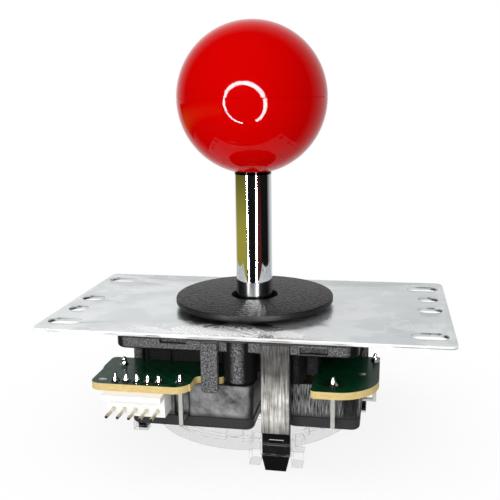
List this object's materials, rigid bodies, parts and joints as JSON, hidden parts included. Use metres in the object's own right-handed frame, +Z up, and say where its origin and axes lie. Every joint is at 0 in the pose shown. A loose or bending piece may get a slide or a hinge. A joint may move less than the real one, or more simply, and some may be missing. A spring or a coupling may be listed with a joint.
{
  "type": "arcade joystick lever",
  "caption": "Arcade joystick: red ball on a chromed lever through a slotted steel plate, with a black housing, microswitches, circuit board and clear gate below",
  "frame": {"origin": "on the lever's axis, at the top face of the mounting plate", "axes": "+Z up along the lever, +X along the plate's long side, wiring header towards -Y"},
  "size_m": [0.095, 0.0694, 0.0989],
  "materials": {
    "red_ball": "polished moulded plastic",
    "brass": "turned brass",
    "chrome": "bright chrome plate",
    "spring_steel": "bright steel",
    "washer_black": "fine grained moulded plastic",
    "zinc_steel": "zinc plated sheet",
    "housing_black": "spark textured moulding",
    "switch_black": "fine textured moulding",
    "nylon": "natural moulding",
    "board_green": "solder mask on laminate",
    "header_white": "white moulding",
    "pin_gold": "plated square wire",
    "solder": "bright solder",
    "tinned": "tinned strip",
    "plunger_red": "small moulding",
    "clear_plastic": "clear moulding"
  },
  "bodies": {
    "base": {"mounting_plate": "zinc_steel", "dust_washer": "washer_black", "plate_screws": "spring_steel", "main_housing": "housing_black", "circuit_board": "board_green", "header_housing": "header_white", "header_pins": "pin_gold", "solder_joints": "solder", "restrictor_gate": "clear_plastic", "switch_case_south": "switch_black", "switch_cover_south": "switch_black", "switch_terminals_south": "tinned", "switch_case_east": "switch_black", "switch_cover_east": "switch_black", "switch_terminals_east": "tinned", "switch_case_north": "switch_black", "switch_cover_north": "switch_black", "switch_terminals_north": "tinned", "switch_case_west": "switch_black", "switch_cover_west": "switch_black", "switch_terminals_west": "tinned"},
    "spring": {"return_spring": "spring_steel"},
    "tilting": {"pivot": "nylon", "spring_seat": "nylon", "actuator": "nylon"},
    "lever": {"shaft": "chrome", "ball_top": "red_ball", "ball_insert": "brass", "retaining_ring": "spring_steel"},
    "blade_south": {"switch_lever_south": "spring_steel"},
    "plunger_south": {"switch_plunger_south": "plunger_red"},
    "blade_east": {"switch_lever_east": "spring_steel"},
    "plunger_east": {"switch_plunger_east": "plunger_red"},
    "blade_north": {"switch_lever_north": "spring_steel"},
    "plunger_north": {"switch_plunger_north": "plunger_red"},
    "blade_west": {"switch_lever_west": "spring_steel"},
    "plunger_west": {"switch_plunger_west": "plunger_red"}
  },
  "joints": [
    {"name": "tilt_x", "type": "hinge", "parent": "base", "child": "spring", "pos_m": [0, 0, -0.003], "axis": [1, 0, 0], "range_deg": [-8, 8], "stiffness_Nm_per_rad": 0.5, "deforming": ["return_spring"]},
    {"name": "tilt_y", "type": "hinge", "parent": "spring", "child": "tilting", "pos_m": [0, 0, -0.003], "axis": [0, 1, 0], "range_deg": [-8, 8], "stiffness_Nm_per_rad": 0.5, "deforming": ["return_spring"]},
    {"name": "shaft_spin", "type": "hinge", "parent": "tilting", "child": "lever", "pos_m": [0, 0, -0.003], "axis": [0, 0, 1], "continuous": true},
    {"name": "blade_south_swing", "type": "hinge", "parent": "base", "child": "blade_south", "pos_m": [-0.0207, -0.0099, -0.0179], "axis": [0, 0, 1], "range_deg": [-6, 6]},
    {"name": "plunger_south_press", "type": "slide", "parent": "base", "child": "plunger_south", "axis": [0, 1, 0], "range_m": [-0.0007, 0.0007]},
    {"name": "blade_east_swing", "type": "hinge", "parent": "base", "child": "blade_east", "pos_m": [0.0099, -0.0207, -0.0179], "axis": [0, 0, 1], "range_deg": [-6, 6]},
    {"name": "plunger_east_press", "type": "slide", "parent": "base", "child": "plunger_east", "axis": [1, 0, 0], "range_m": [-0.0007, 0.0007]},
    {"name": "blade_north_swing", "type": "hinge", "parent": "base", "child": "blade_north", "pos_m": [0.0207, 0.0099, -0.0179], "axis": [0, 0, 1], "range_deg": [-6, 6]},
    {"name": "plunger_north_press", "type": "slide", "parent": "base", "child": "plunger_north", "axis": [0, 1, 0], "range_m": [-0.0007, 0.0007]},
    {"name": "blade_west_swing", "type": "hinge", "parent": "base", "child": "blade_west", "pos_m": [-0.0099, 0.0207, -0.0179], "axis": [0, 0, 1], "range_deg": [-6, 6]},
    {"name": "plunger_west_press", "type": "slide", "parent": "base", "child": "plunger_west", "axis": [1, 0, 0], "range_m": [-0.0007, 0.0007]}
  ],
  "couplings": [
    {"joint": "blade_south_swing", "follows": "tilt_x", "ratio": 0.7198},
    {"joint": "plunger_south_press", "follows": "tilt_x", "m_per_rad": 0.004823},
    {"joint": "blade_east_swing", "follows": "tilt_y", "ratio": 0.7198},
    {"joint": "plunger_east_press", "follows": "tilt_y", "m_per_rad": -0.004823},
    {"joint": "blade_north_swing", "follows": "tilt_x", "ratio": -0.7198},
    {"joint": "plunger_north_press", "follows": "tilt_x", "m_per_rad": 0.004823},
    {"joint": "blade_west_swing", "follows": "tilt_y", "ratio": -0.7198},
    {"joint": "plunger_west_press", "follows": "tilt_y", "m_per_rad": -0.004823}
  ]
}
